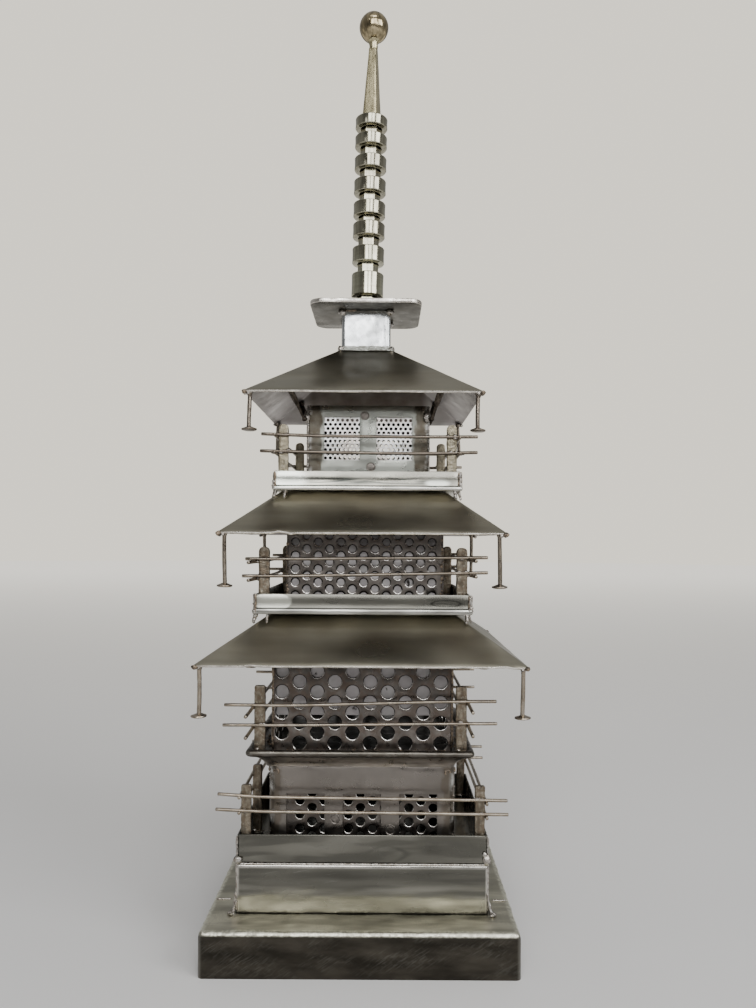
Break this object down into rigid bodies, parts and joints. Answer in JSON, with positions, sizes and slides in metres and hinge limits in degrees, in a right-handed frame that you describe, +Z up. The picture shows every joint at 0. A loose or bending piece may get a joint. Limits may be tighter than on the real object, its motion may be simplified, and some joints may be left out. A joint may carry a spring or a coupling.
{
  "type": "model pagoda",
  "caption": "Welded sheet-steel scale model of a square tiered pagoda, with railed balconies, perforated walls, hipped roofs and a ringed spire.",
  "frame": {"origin": "middle of the plinth's underside, on the tower's axis", "axes": "+Z up the tower, -Y to the front, +X to the right seen from the front"},
  "size_m": [0.189, 0.189, 0.5929],
  "materials": {
    "plinth_steel": "mill steel, scratched, ground along its welded edges",
    "bright_steel": "bright polished sheet",
    "wall_steel": "semi-gloss sheet with heat tint at the welds",
    "perforated_steel": "dark perforated sheet",
    "liner_steel": "plain grey sheet",
    "roof_steel": "dark semi-gloss mill sheet",
    "post_bar": "rough rusty bar with weld spatter",
    "drawn_rod": "drawn wire, slightly brown",
    "zinc_steel": "zinc-bright tube",
    "turned_steel": "turned bright",
    "ball_steel": "dark polished ball"
  },
  "bodies": {
    "root": {"plinth": "plinth_steel", "podium": "bright_steel", "ground_balcony": "bright_steel", "ground_wall": "wall_steel", "ground_screen": "perforated_steel", "ground_railing": "post_bar", "first_balcony": "wall_steel", "first_wall": "perforated_steel", "first_liner": "liner_steel", "first_railing": "post_bar", "lower_roof": "roof_steel", "second_balcony": "bright_steel", "second_wall": "perforated_steel", "second_liner": "liner_steel", "second_railing": "post_bar", "middle_roof": "roof_steel", "third_balcony": "bright_steel", "third_wall": "wall_steel", "third_screen": "perforated_steel", "third_railing": "post_bar", "upper_roof": "roof_steel", "neck": "zinc_steel", "top_plate": "bright_steel", "spire_stem": "turned_steel", "spire_spike": "turned_steel", "spire_ball": "ball_steel", "roof_bracket_front_left": "post_bar", "roof_bracket_front_right": "post_bar", "roof_bracket_rear_left": "post_bar", "roof_bracket_rear_right": "post_bar", "spire_collar_1": "turned_steel", "spire_collar_2": "turned_steel", "spire_collar_3": "turned_steel", "spire_collar_4": "turned_steel", "spire_collar_5": "turned_steel", "spire_collar_6": "turned_steel", "spire_collar_7": "turned_steel", "spire_collar_8": "turned_steel", "lower_roof_nail_front_left": "drawn_rod", "lower_roof_nail_front_right": "drawn_rod", "lower_roof_nail_rear_left": "drawn_rod", "lower_roof_nail_rear_right": "drawn_rod", "middle_roof_nail_front_left": "drawn_rod", "middle_roof_nail_front_right": "drawn_rod", "middle_roof_nail_rear_left": "drawn_rod", "middle_roof_nail_rear_right": "drawn_rod", "upper_roof_nail_front_left": "drawn_rod", "upper_roof_nail_front_right": "drawn_rod", "upper_roof_nail_rear_left": "drawn_rod", "upper_roof_nail_rear_right": "drawn_rod"}
  },
  "joints": []
}
